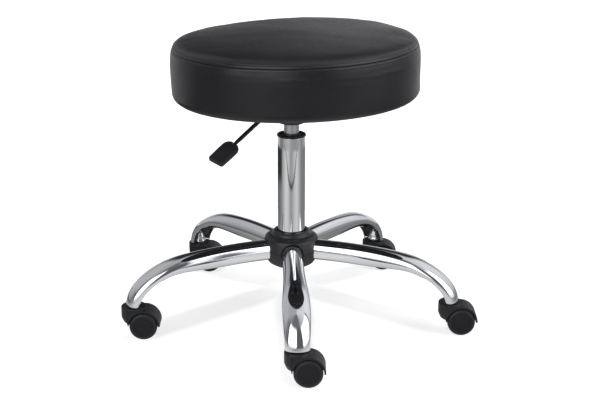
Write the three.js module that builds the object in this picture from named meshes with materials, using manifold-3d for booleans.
// Round salon stool on a five-arm base: gas lift, release lever and five hooded twin-wheel casters.
// Millimetres, +Z up. The origin is on the floor, at the middle of the bounding box in plan.
// The lever points to -X -Y.
import * as THREE from 'three';
import { mergeVertices } from 'three/addons/utils/BufferGeometryUtils.js';
import Module from 'manifold-3d';

const wasm = await Module();
wasm.setup();

// ---- shared dimensions --------------------------------------------------
const GAP = 0.3; // clearance between neighbouring pieces
const COLUMN_XY = [-16.435, 24.93]; // axis of the lift column

const BOLT_PITCH = 110; // side of the square of seat bolts, centred on the column
const TUBE_R = 25; // outer column tube
const TUBE_SEG = 24;
const LIFT_R = 14; // moving gas cylinder

const ARM_COUNT = 5;
const FIRST_ARM_AZ = 2.4 - 90; // degrees from +X
const CASTER_R = 300; // circle of the caster stems
const CASTER_STEM_R = 4;

const deg = THREE.MathUtils.degToRad;
const armAngles = Array.from({ length: ARM_COUNT },
  (_, i) => deg(FIRST_ARM_AZ + (360 / ARM_COUNT) * i));

// ---- materials ----------------------------------------------------------
const LOOKS = {
  vinyl: { color: 0x16161a, roughness: 0.45, metalness: 0 },
  foam: { color: 0xd9cf9a, roughness: 0.95, metalness: 0 },
  plywood: { color: 0xb98f5a, roughness: 0.8, metalness: 0 },
  cloth: { color: 0x101012, roughness: 0.95, metalness: 0 },
  blackSteel: { color: 0x1a1a1c, roughness: 0.5, metalness: 0.4 },
  zinc: { color: 0xb8babd, roughness: 0.35, metalness: 1 },
  chrome: { color: 0xe6e8ea, roughness: 0.05, metalness: 1 },
  steel: { color: 0xc2c4c6, roughness: 0.22, metalness: 1 },
  plastic: { color: 0x18181a, roughness: 0.55, metalness: 0 },
  nylon: { color: 0x141416, roughness: 0.5, metalness: 0 },
};

// ---- helpers ------------------------------------------------------------
// Welds the vertices, drops collapsed triangles and turns the faces outward.
function clean(geometry) {
  geometry.deleteAttribute('normal');
  geometry.deleteAttribute('uv');
  const welded = mergeVertices(geometry, 1e-4);
  const { position } = welded.attributes;
  const source = welded.index.array;
  const corners = [new THREE.Vector3(), new THREE.Vector3(), new THREE.Vector3()];
  const kept = [];
  let volume = 0;
  for (let i = 0; i < source.length; i += 3) {
    const triangle = [source[i], source[i + 1], source[i + 2]];
    if (new Set(triangle).size < 3) continue;
    kept.push(...triangle);
    triangle.forEach((vertex, k) => corners[k].fromBufferAttribute(position, vertex));
    volume += corners[0].dot(corners[1].cross(corners[2]));
  }
  if (volume < 0) {
    for (let i = 0; i < kept.length; i += 3) {
      [kept[i + 1], kept[i + 2]] = [kept[i + 2], kept[i + 1]];
    }
  }
  welded.setIndex(kept);
  return welded;
}

function solid(geometry) {
  const cleaned = clean(geometry);
  return new wasm.Manifold(new wasm.Mesh({
    numProp: 3,
    vertProperties: new Float32Array(cleaned.attributes.position.array),
    triVerts: new Uint32Array(cleaned.index.array),
  }));
}

// Cuts geometries away from a manifold, one after the other.
function carve(body, ...cutters) {
  return cutters.reduce((rest, cutter) => rest.subtract(solid(cutter)), body);
}

function geometryOf(manifold) {
  const mesh = manifold.getMesh();
  const geometry = new THREE.BufferGeometry();
  geometry.setAttribute('position', new THREE.BufferAttribute(mesh.vertProperties.slice(), 3));
  geometry.setIndex(Array.from(mesh.triVerts));
  return geometry;
}

const points = (pairs) => pairs.map(([x, y]) => new THREE.Vector2(x, y));

// Profile of [radius, height] turned about +Z; it starts and ends on the axis.
function lathe(profile, segments, phase = 0) {
  const geometry = new THREE.LatheGeometry(points(profile), segments, phase);
  return clean(geometry.rotateX(Math.PI / 2));
}

// Closed profile of [radius, height], clear of the axis.
const ring = (profile, segments) => lathe([...profile, profile[0]], segments);

// Upright prism of a shape in X-Y.
function prism(shape, [bottom, top]) {
  const geometry = new THREE.ExtrudeGeometry(shape, {
    depth: top - bottom, bevelEnabled: false, curveSegments: 4,
  });
  return clean(geometry.translate(0, 0, bottom));
}

// Slab with an outline of [x, z], centred on Y = 0.
function slab(outline, halfWidth) {
  const shape = new THREE.Shape(points(outline));
  return new THREE.ExtrudeGeometry(shape, { depth: 2 * halfWidth, bevelEnabled: false })
    .rotateX(Math.PI / 2)
    .translate(0, halfWidth, 0);
}

function circle(PathKind, x, y, radius, segments) {
  const rim = [];
  for (let i = 0; i < segments; i++) {
    const angle = (i / segments) * 2 * Math.PI;
    rim.push([x + radius * Math.cos(angle), y + radius * Math.sin(angle)]);
  }
  return new PathKind(points(rim));
}

function roundedSquare(half, corner) {
  const flat = half - corner;
  const shape = new THREE.Shape();
  shape.moveTo(-flat, -half);
  shape.lineTo(flat, -half);
  shape.quadraticCurveTo(half, -half, half, -flat);
  shape.lineTo(half, flat);
  shape.quadraticCurveTo(half, half, flat, half);
  shape.lineTo(-flat, half);
  shape.quadraticCurveTo(-half, half, -half, flat);
  shape.lineTo(-half, -flat);
  shape.quadraticCurveTo(-half, -half, -flat, -half);
  return shape;
}

// Skins elliptical sections strung along the X-Z plane.
// Station: [x, z, half width along Y, half depth, tilt down in degrees].
function loft(stations, sides) {
  const xyz = [];
  const index = [];
  for (const [x, z, halfWidth, halfDepth, tilt] of stations) {
    for (let i = 0; i < sides; i++) {
      const angle = ((i + 0.5) / sides) * 2 * Math.PI;
      const rise = halfDepth * Math.sin(angle);
      xyz.push(
        x + rise * Math.sin(deg(tilt)),
        halfWidth * Math.cos(angle),
        z + rise * Math.cos(deg(tilt)),
      );
    }
  }
  const last = (stations.length - 1) * sides;
  for (let start = 0; start < last; start += sides) {
    for (let i = 0; i < sides; i++) {
      const here = start + i;
      const next = start + ((i + 1) % sides);
      index.push(here, here + sides, next, next, here + sides, next + sides);
    }
  }
  for (let i = 1; i < sides - 1; i++) {
    index.push(0, i, i + 1);
    index.push(last, last + i + 1, last + i);
  }
  const geometry = new THREE.BufferGeometry();
  geometry.setAttribute('position', new THREE.Float32BufferAttribute(xyz, 3));
  geometry.setIndex(index);
  return clean(geometry);
}

function box([x0, y0, z0], [x1, y1, z1]) {
  return new THREE.BoxGeometry(x1 - x0, y1 - y0, z1 - z0)
    .translate((x0 + x1) / 2, (y0 + y1) / 2, (z0 + z1) / 2);
}

// Cylinder along Y between y0 and y1.
function cylinderY([x, z], radius, y0, y1, segments) {
  return new THREE.CylinderGeometry(radius, radius, y1 - y0, segments)
    .translate(x, (y0 + y1) / 2, z);
}

function add(parent, name, geometry, look) {
  const mesh = new THREE.Mesh(geometry, new THREE.MeshStandardMaterial(LOOKS[look]));
  mesh.name = name;
  parent.add(mesh);
  return mesh;
}

function addGroup(parent) {
  const group = new THREE.Group();
  parent.add(group);
  return group;
}

// Everything below is placed from the foot of the column's axis.
const stool = new THREE.Group();
stool.position.set(...COLUMN_XY, 0);

// ---- seat ---------------------------------------------------------------
const SEAT_R = 218.8;
const SEAT_X = 7.5; // seat centre, beside the column axis
const SEAT_SEG = 32;
const COVER_T = 2;
const HEM_Z = 426.9; // underside of the hem below the board
const HEM_R = 188; // inner edge of the hem
const ROLL_Z = 421.9; // lowest point of the padded edge round the hem
const SEAM_Z = 511.6; // sewn edge between the band and the top panel
const CROWN_Z = 535;
const CROWN_FLAT_R = 38; // level middle of the top panel
const BOARD_R = 206;
const BOARD_Z = [429.2, 441.2];
const CLOTH_R = 186;
const CLOTH_Z = [427.7, 428.9];
const PLATE_HALF = 78;
const PLATE_CORNER = 16;
const PLATE_Z = [424.5, CLOTH_Z[0] - GAP];
const BOLT_R = 3;
const BOLT_HEAD_R = 6;
const BOLT_HOLE_R = 3.4;
const BOLT_SEG = 8;

const boltPlaces = [[-1, -1], [1, -1], [1, 1], [-1, 1]]
  .map(([x, y]) => [x * BOLT_PITCH / 2, y * BOLT_PITCH / 2]);

// The cover is one open-bottomed skin: inside from crown to hem, then outside back up.
const coverGeometry = () => lathe([
  [0, CROWN_Z - COVER_T], [CROWN_FLAT_R, CROWN_Z - COVER_T], [150, 530], [188, 527],
  [205, 522.8], [213, 518], [SEAT_R - 2.2, SEAM_Z - 0.6], [SEAT_R - COVER_T, 460],
  [SEAT_R - 3.5, 437], [212, 431.3], [206.5, HEM_Z + COVER_T], [HEM_R, HEM_Z + COVER_T],
  [HEM_R, HEM_Z], [194, HEM_Z - 0.4], [200, 423.6], [206, ROLL_Z],
  [212.6, 423.7], [217.2, 429], [SEAT_R, 438], [SEAT_R, SEAM_Z],
  [215, 519.3], [206, 524.8], [188.5, 529], [150, 532.2],
  [CROWN_FLAT_R, CROWN_Z], [0, CROWN_Z],
], SEAT_SEG);

const foamGeometry = () => lathe([
  [0, 441.6], [213.2, 441.6], [215.6, 460], [216, 510.6], [212.4, 517.4],
  [204.4, 522.2], [187.6, 526.5], [150, 529.5], [CROWN_FLAT_R, 532.5], [0, 532.5],
], SEAT_SEG);

// Adds the bolt holes to a shape whose centre is at centreX from the column axis.
function drilled(shape, centreX) {
  for (const [x, y] of boltPlaces) {
    shape.holes.push(circle(THREE.Path, x - centreX, y, BOLT_HOLE_R, BOLT_SEG));
  }
  return shape;
}

function seatDisc(radius, heights) {
  return prism(drilled(circle(THREE.Shape, 0, 0, radius, SEAT_SEG), SEAT_X), heights);
}

const boltGeometry = () => lathe([
  [0, 419.8], [4, 420], [BOLT_HEAD_R, 421.6], [BOLT_HEAD_R, PLATE_Z[0] - GAP],
  [BOLT_R, PLATE_Z[0] - GAP], [BOLT_R, 439], [0, 440],
], BOLT_SEG, Math.PI / BOLT_SEG);

function buildSeat() {
  const seat = addGroup(stool);
  seat.position.x = SEAT_X;
  add(seat, 'seat_cover', coverGeometry(), 'vinyl');
  add(seat, 'seat_foam', foamGeometry(), 'foam');
  add(seat, 'seat_board', seatDisc(BOARD_R, BOARD_Z), 'plywood');
  add(seat, 'seat_bottom_cloth', seatDisc(CLOTH_R, CLOTH_Z), 'cloth');

  const plate = drilled(roundedSquare(PLATE_HALF, PLATE_CORNER), 0);
  add(stool, 'seat_plate', prism(plate, PLATE_Z), 'blackSteel');
  boltPlaces.forEach(([x, y], i) => {
    add(stool, `seat_bolt_${i + 1}`, boltGeometry(), 'zinc').position.set(x, y, 0);
  });
}

// ---- lift ---------------------------------------------------------------
const TUBE_Z = [112, 344.9];
const TUBE_BORE_R = TUBE_R - 2;
const TUBE_FLOOR_Z = 115; // top of the tube's closed bottom
const LIFT_Z = [150, 412];
const LIFT_BORE_R = 11.6;
const BUSH_BOTTOM_Z = 262;
const BUSH_R = TUBE_BORE_R - GAP - 0.2;
const BUSH_BORE_R = LIFT_R + 0.4;
const FLANGE_R = 26.2;
const FLANGE_Z = [TUBE_Z[1] + GAP, TUBE_Z[1] + GAP + 3.5];
const BUTTON_R = 4;
const BUTTON_BORE_R = BUTTON_R + 0.4;
const PISTON_ROD_R = 5;
const ROD_HOLE_R = PISTON_ROD_R + 0.6; // through the tube's bottom and the bearing

const rectangleRing = (innerR, outerR, [bottom, top], segments) => ring([
  [innerR, bottom], [outerR, bottom], [outerR, top], [innerR, top],
], segments);

const outerTubeGeometry = () => ring([
  [ROD_HOLE_R, TUBE_Z[0]], [23.6, TUBE_Z[0]], [TUBE_R, 118], [TUBE_R, TUBE_Z[1]],
  [TUBE_BORE_R, TUBE_Z[1]], [TUBE_BORE_R, TUBE_FLOOR_Z], [ROD_HOLE_R, TUBE_FLOOR_Z],
], TUBE_SEG);

const guideBushGeometry = () => ring([
  [BUSH_BORE_R, BUSH_BOTTOM_Z], [BUSH_R, BUSH_BOTTOM_Z], [BUSH_R, FLANGE_Z[0]],
  [FLANGE_R, FLANGE_Z[0]], [FLANGE_R, FLANGE_Z[1] - 1.2], [FLANGE_R - 1, FLANGE_Z[1]],
  [BUSH_BORE_R, FLANGE_Z[1]],
], TUBE_SEG);

const innerCylinderGeometry = () => lathe([
  [0, 390], [LIFT_BORE_R, 390], [LIFT_BORE_R, LIFT_Z[0]], [LIFT_R, LIFT_Z[0]],
  [LIFT_R, 372], [LIFT_R - 0.8, LIFT_Z[1]], [BUTTON_BORE_R, LIFT_Z[1]],
  [BUTTON_BORE_R, 396], [0, 396],
], 20);

const buttonGeometry = () => lathe([
  [0, 400], [BUTTON_R, 400], [BUTTON_R, 416], [1.6, 418], [0, 418],
], 12);

const pistonRodGeometry = () => lathe([
  [0, 103.6], [4, 104.2], [PISTON_ROD_R, 105.2], [PISTON_ROD_R, 354],
  [11, 354], [11, 369], [9.5, 371], [0, 371],
], 16);

function buildLift() {
  const bearing = rectangleRing(ROD_HOLE_R, 12, [108.4, 111.6], 16);
  const clip = rectangleRing(PISTON_ROD_R + 0.35, 9, [106.4, 107.9], 16);
  add(stool, 'lift_outer_tube', outerTubeGeometry(), 'chrome');
  add(stool, 'lift_guide_bush', guideBushGeometry(), 'plastic');
  add(stool, 'lift_inner_cylinder', innerCylinderGeometry(), 'steel');
  add(stool, 'lift_button', buttonGeometry(), 'steel');
  add(stool, 'lift_piston_rod', pistonRodGeometry(), 'steel');
  add(stool, 'lift_thrust_bearing', bearing, 'steel');
  add(stool, 'lift_retaining_clip', clip, 'zinc');
}

// ---- socket and lever ---------------------------------------------------
const SOCKET_R = 25; // socket under the seat plate
const SOCKET_Z = [370, PLATE_Z[0] - GAP];
const LEVER_AZ = 225; // degrees from +X
const LEVER_RISE = 427; // height of the rod's line at the column axis
const LEVER_SLOPE = 0.517;
const LEVER_R = 3.8;
const LEVER_PIVOT = [20, 419]; // distance from the column axis, height
const PIN_R = 2;
const PADDLE_FROM = 138; // distance from the column axis
const PADDLE_L = 52;
const PADDLE_HALF_W = 16.4;
const PADDLE_T = 10;
const PADDLE_ROLL = -15; // degrees the paddle is turned about the rod
const PADDLE_BEVEL = 1.5;

const leverTilt = THREE.MathUtils.radToDeg(Math.atan(LEVER_SLOPE));
const leverZ = (distance) => LEVER_RISE - LEVER_SLOPE * distance;

// A turned boss, slotted on its +X side for the lever rod and cross-drilled for the pin.
function socketGeometry() {
  const boss = ring([
    [LIFT_R + 0.4, SOCKET_Z[0]], [SOCKET_R - 2, SOCKET_Z[0]], [SOCKET_R, SOCKET_Z[0] + 2],
    [SOCKET_R, SOCKET_Z[1]], [16, SOCKET_Z[1]], [16, 411], [LIFT_R + 0.2, 411],
  ], TUBE_SEG);
  const slot = box([10, -5, 403], [30, 5, 430]);
  const pinHole = cylinderY(LEVER_PIVOT, PIN_R + 0.4, -9.6, 9.6, 12);
  return geometryOf(carve(solid(boss), slot, pinHole));
}

// Flattened over the button, cranked down at the pivot, then straight, with a flattened tip.
function leverRodGeometry() {
  const straight = (x, halfDepth) => [x, leverZ(x), LEVER_R, halfDepth, leverTilt];
  const rod = loft([
    [-2, 420.9, 4, 2.5, 0],
    [11, 420.9, 4, 2.5, 0],
    [20, 419, 4, 3.5, 12],
    [30, 413, 4, 3.7, 30],
    straight(41, LEVER_R),
    straight(PADDLE_FROM - 5, LEVER_R),
    straight(PADDLE_FROM - 1.5, 2.2),
    straight(PADDLE_FROM + 17, 2.2),
  ], 8);
  const pinHole = cylinderY(LEVER_PIVOT, PIN_R + 0.3, -6, 6, 10);
  return geometryOf(carve(solid(rod), pinHole));
}

// A rounded pad with a narrower shoulder at the rod, bored for the rod's tip.
function paddleGeometry() {
  const half = PADDLE_HALF_W;
  const length = PADDLE_L;
  const corner = 5;
  const outline = new THREE.Shape();
  outline.moveTo(0, -8);
  outline.quadraticCurveTo(1, -half + 1, 14, -half);
  outline.lineTo(length - corner, -half);
  outline.quadraticCurveTo(length, -half, length, -half + corner);
  outline.lineTo(length, half - corner);
  outline.quadraticCurveTo(length, half, length - corner, half);
  outline.lineTo(14, half);
  outline.quadraticCurveTo(1, half - 1, 0, 8);
  outline.closePath();
  const pad = new THREE.ExtrudeGeometry(outline, {
    depth: PADDLE_T - 2 * PADDLE_BEVEL,
    bevelEnabled: true,
    bevelThickness: PADDLE_BEVEL,
    bevelSize: 1.2,
    bevelOffset: -1.2,
    bevelSegments: 1,
    curveSegments: 4,
  }).translate(0, 0, PADDLE_BEVEL - PADDLE_T / 2);
  const bore = new THREE.BoxGeometry(24, 2 * LEVER_R + 0.8, 5.2)
    .translate(10, 0, 0)
    .rotateX(deg(-PADDLE_ROLL));
  return geometryOf(carve(solid(pad), bore));
}

// Built with the lever along +X, then turned to its azimuth.
function buildLever() {
  const head = addGroup(stool);
  head.rotation.z = deg(LEVER_AZ);
  add(head, 'lift_socket', socketGeometry(), 'plastic');
  add(head, 'lever_rod', leverRodGeometry(), 'blackSteel');
  add(head, 'lever_pin', clean(cylinderY(LEVER_PIVOT, PIN_R, -9.2, 9.2, 12)), 'zinc');
  const paddle = add(head, 'lever_paddle', paddleGeometry(), 'plastic');
  paddle.position.set(PADDLE_FROM, 0, leverZ(PADDLE_FROM));
  paddle.rotation.set(deg(PADDLE_ROLL), deg(leverTilt), 0, 'YXZ');
}

// ---- arms ---------------------------------------------------------------
const ARM_WALL = 1.8;
const ARM_SIDES = 12;
// distance from the column axis, height, half width, half depth, tilt of the section in degrees
const ARM = [
  [35.3, 132.6, 19, 19, 0],
  [104, 131.7, 19, 19, 2],
  [150, 129.2, 19.3, 18.7, 4],
  [186, 127.2, 20.7, 17, 5],
  [216, 124.1, 22.4, 15, 10],
  [238, 118.5, 23.6, 13.6, 21],
  [256, 110.3, 24, 13, 30],
  [272, 100.3, 23.8, 13.1, 39],
  [286, 87.5, 22.8, 13.3, 55],
  [295.6, 73.5, 21.8, 13.5, 73],
  [CASTER_R, 60, 21.2, 13.5, 90],
];
// Cut away from the inner side of the arm's turned-down end: distance from the axis, height.
const ARM_CUT = [
  [236, 50], [295, 50], [295, 60], [290.8, 72], [281.9, 84.6],
  [268.9, 96.4], [256, 103.8], [248.5, 105.4], [241, 101.5], [236, 96],
];

function armGeometry() {
  const bore = ARM.map(([x, z, halfWidth, halfDepth, tilt]) => (
    [x, z, halfWidth - ARM_WALL, halfDepth - ARM_WALL, tilt]));
  // The bore runs past both ends of the arm.
  bore[0][0] -= 3;
  bore.at(-1)[0] += 1;
  bore.at(-1)[1] -= 4;
  return geometryOf(carve(solid(loft(ARM, ARM_SIDES)), loft(bore, ARM_SIDES), slab(ARM_CUT, 30)));
}

// Formed steel seat for the stem, in the open end of each arm.
function casterSocketGeometry() {
  const boreR = CASTER_STEM_R + 0.4;
  return ring([
    [boreR, 60.4], [10.4, 60.4], [10.4, 62.4], [8.8, 66.5], [5.6, 78], [boreR, 78],
  ], 10).scale(1, 1.1, 1);
}

function buildArms() {
  const arm = armGeometry();
  const socket = casterSocketGeometry();
  armAngles.forEach((angle, i) => {
    const spoke = addGroup(stool);
    spoke.rotation.z = angle;
    add(spoke, `arm_${i + 1}`, arm, 'chrome');
    add(spoke, `caster_socket_${i + 1}`, socket, 'zinc').position.x = CASTER_R;
  });
}

// ---- hub ----------------------------------------------------------------
const HUB_SPLIT_Z = 132.6; // the covers meet at the height of the arm holes' axes
const HUB_HOLE_R = 20.6;
const HUB_HOLE_SPAN = [20, 70]; // distances from the column axis
const HUB_SEG = 20;

// Profiles of [radius, height]; the outer and the cavity overrun the split.
const TOP_COVER = {
  outer: [
    [0, 130], [52.6, 130], [52.4, 135], [50.8, 143], [49.2, 150.4], [47.2, 155],
    [42.8, 158], [36, 160.4], [33.4, 165], [30.4, 168], [0, 168],
  ],
  cavity: [
    [0, 120], [49.2, 120], [49.2, 134], [47.6, 142], [45.8, 150], [41.8, 155.2],
    [34.8, 157.4], [30.6, 161], [TUBE_R + 0.7, 161], [TUBE_R + 0.7, 175], [0, 175],
  ],
  heights: [HUB_SPLIT_Z + 0.2, 168],
};
const BOTTOM_COVER = {
  outer: [
    [0, 99.6], [24, 99.6], [33, 101.2], [41.5, 106.2], [46.8, 113.6],
    [50.8, 123], [52.6, 132], [52.6, 136], [0, 136],
  ],
  cavity: [
    [0, 102.2], [23.6, 102.2], [32, 103.7], [39, 108.4], [43.8, 116],
    [47.6, 124.5], [49.2, 133], [49.2, 140], [0, 140],
  ],
  heights: [99, HUB_SPLIT_Z - 0.2],
};

function armHole(angle) {
  const [from, to] = HUB_HOLE_SPAN;
  return new THREE.CylinderGeometry(HUB_HOLE_R, HUB_HOLE_R, to - from, 14)
    .rotateZ(Math.PI / 2)
    .translate((from + to) / 2, 0, HUB_SPLIT_Z)
    .rotateZ(angle);
}

function coverShell({ outer, cavity, heights: [bottom, top] }) {
  const slice = solid(box([-80, -80, bottom], [80, 80, top]));
  const body = solid(lathe(outer, HUB_SEG)).intersect(slice);
  return geometryOf(carve(body, lathe(cavity, HUB_SEG), ...armAngles.map(armHole)));
}

function buildHub() {
  const core = rectangleRing(TUBE_R + 0.5, 34.6, [114, 152], TUBE_SEG);
  add(stool, 'hub_core', core, 'blackSteel');
  add(stool, 'hub_top_cover', coverShell(TOP_COVER), 'plastic');
  add(stool, 'hub_bottom_cover', coverShell(BOTTOM_COVER), 'plastic');
}

// ---- casters ------------------------------------------------------------
// Stem on the Z axis, axle along Y; every caster trails to +X.
const WHEEL_R = 25;
const WHEEL_SEG = 16;
const WHEEL_IN = 3.2; // wheel faces, from the caster's middle plane
const WHEEL_OUT = 23.5;
const AXLE_R = 3;
const AXLE_HALF = 18;
const AXLE_XZ = [18, WHEEL_R];
const HOOD_R = 29.6;
const HOOD_IN_R = 26.3;
const HOOD_HALF = 21;
const HOOD_TOP_Z = 57.8;
const WEB_HALF = 2.4; // web between the wheels
const BOSS_R = 22.5;
const STEM_FOOT_R = 5; // stem inside the hood

function hoodGeometry() {
  const outline = [];
  for (let angle = 0; angle <= 96; angle += 16) {
    outline.push([
      AXLE_XZ[0] + HOOD_R * Math.cos(deg(angle)),
      AXLE_XZ[1] + HOOD_R * Math.sin(deg(angle)),
    ]);
  }
  outline.push([4, HOOD_TOP_Z], [-12, HOOD_TOP_Z], [-13, 40], [-9.5, 25]);
  const boss = lathe([
    [0, 24], [BOSS_R - 9, 24], [BOSS_R - 2, 31], [BOSS_R, 38],
    [BOSS_R, HOOD_TOP_Z - 2], [BOSS_R - 2, HOOD_TOP_Z], [0, HOOD_TOP_Z],
  ], 16);
  const block = solid(slab(outline, HOOD_HALF)).add(solid(boss));
  const bayed = carve(
    block,
    cylinderY(AXLE_XZ, HOOD_IN_R, WEB_HALF, 40, 20),
    cylinderY(AXLE_XZ, HOOD_IN_R, -40, -WEB_HALF, 20),
  );
  const axleBoss = solid(cylinderY(AXLE_XZ, 7, -WEB_HALF, WEB_HALF, 10));
  const stemBoreR = STEM_FOOT_R + 0.4;
  return geometryOf(carve(
    bayed.add(axleBoss),
    cylinderY(AXLE_XZ, AXLE_R + GAP, -3, 3, 10),
    lathe([[0, 46], [stemBoreR, 46], [stemBoreR, 70], [0, 70]], 12),
  ));
}

const stemGeometry = () => lathe([
  [0, 46.6], [STEM_FOOT_R, 46.6], [STEM_FOOT_R, HOOD_TOP_Z + 0.4], [8.5, HOOD_TOP_Z + 0.4],
  [8.5, 59.8], [CASTER_STEM_R, 59.8], [CASTER_STEM_R, 79], [2.6, 81.6], [0, 82.4],
], 12);

// Tread, sloped shoulder, flat disc and blind axle bore; a flat of the tread faces the floor.
function wheelGeometry() {
  const treadR = WHEEL_R / Math.cos(Math.PI / WHEEL_SEG);
  const boreR = AXLE_R + 0.4;
  const boreEnd = AXLE_HALF + 0.4;
  const profile = [
    [0, boreEnd], [boreR, boreEnd], [boreR, WHEEL_IN], [22.5, WHEEL_IN],
    [treadR, WHEEL_IN + 2], [treadR, WHEEL_OUT - 5], [22.6, WHEEL_OUT - 1.7],
    [16, WHEEL_OUT], [0, WHEEL_OUT],
  ];
  // Laid over so that the profile's height runs along +Y.
  return lathe(profile, WHEEL_SEG, Math.PI / WHEEL_SEG).rotateX(-Math.PI / 2);
}

function buildCasters() {
  const hood = hoodGeometry();
  const stem = stemGeometry();
  const axle = clean(cylinderY([0, 0], AXLE_R, -AXLE_HALF, AXLE_HALF, 12));
  const wheel = wheelGeometry();
  armAngles.forEach((angle, i) => {
    const caster = addGroup(stool);
    caster.position.set(CASTER_R * Math.cos(angle), CASTER_R * Math.sin(angle), 0);
    const addOnAxle = (name, geometry, look) => {
      const mesh = add(caster, name, geometry, look);
      mesh.position.set(AXLE_XZ[0], 0, AXLE_XZ[1]);
      return mesh;
    };
    add(caster, `caster_hood_${i + 1}`, hood, 'nylon');
    add(caster, `caster_stem_${i + 1}`, stem, 'zinc');
    addOnAxle(`caster_axle_${i + 1}`, axle, 'zinc');
    addOnAxle(`wheel_${i + 1}_a`, wheel, 'nylon');
    addOnAxle(`wheel_${i + 1}_b`, wheel, 'nylon').rotation.z = Math.PI;
  });
}

buildSeat();
buildLift();
buildLever();
buildArms();
buildHub();
buildCasters();

export default stool;
